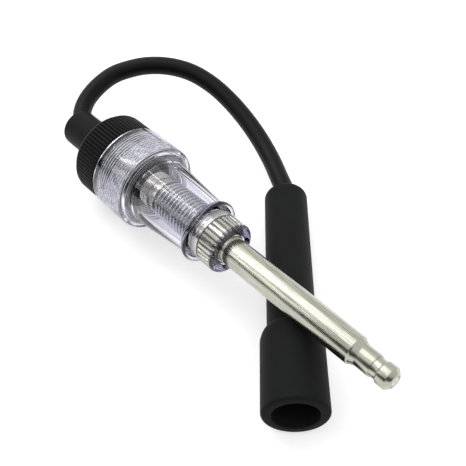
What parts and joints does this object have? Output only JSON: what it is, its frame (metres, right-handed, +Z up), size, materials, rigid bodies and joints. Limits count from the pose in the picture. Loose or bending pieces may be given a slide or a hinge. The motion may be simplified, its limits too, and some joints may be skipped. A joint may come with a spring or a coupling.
{
  "type": "spark plug tester",
  "caption": "In-line ignition spark tester: clear screw-together barrel with a neon lamp and spring, a nickel probe rod, a ribbed cap, and a short plug lead ending in a rubber boot.",
  "frame": {"origin": "on the floor, under the middle of the barrel, cap and rod", "axes": "+X along the barrel's plan direction towards the rod's terminal end, +Z up"},
  "size_m": [0.1402, 0.0691, 0.0279],
  "materials": {
    "black_plastic": "moulded black plastic, satin",
    "brass": "turned brass, lightly plated",
    "zinc": "zinc-plated spring wire",
    "copper": "bare copper strands",
    "lead_rubber": "extruded black rubber, satin",
    "boot_rubber": "moulded black rubber, matte",
    "lamp_glass": "clear lamp glass",
    "clear_plastic": "clear moulded plastic with a faint lilac tint",
    "nickel": "nickel plate over turned steel"
  },
  "bodies": {
    "cap_end": {"screw_cap": "black_plastic", "cap_terminal": "brass", "lead_ferrule": "zinc", "cap_core": "copper", "lead": "lead_rubber", "boot": "boot_rubber", "plug_clip": "brass", "clip_ring": "zinc", "boot_core": "copper"},
    "lamp_stack": {"contact_spring": "zinc", "lamp_glass": "lamp_glass", "rear_electrode": "nickel", "front_electrode": "nickel"},
    "barrel": {"clear_body": "clear_plastic", "knurled_bush": "nickel", "probe_rod": "nickel"}
  },
  "joints": [
    {"name": "screw_travel", "type": "slide", "parent": "cap_end", "child": "lamp_stack", "axis": [0.9959, 0, 0.0909], "range_m": [0, 0.0027]},
    {"name": "screw_turn", "type": "hinge", "parent": "lamp_stack", "child": "barrel", "pos_m": [-0.03773, 0, 0.01345], "axis": [0.9959, 0, 0.0909], "range_deg": [0, 1082]}
  ],
  "couplings": [
    {"joint": "screw_turn", "follows": "screw_travel", "rad_per_m": 6981.3}
  ]
}
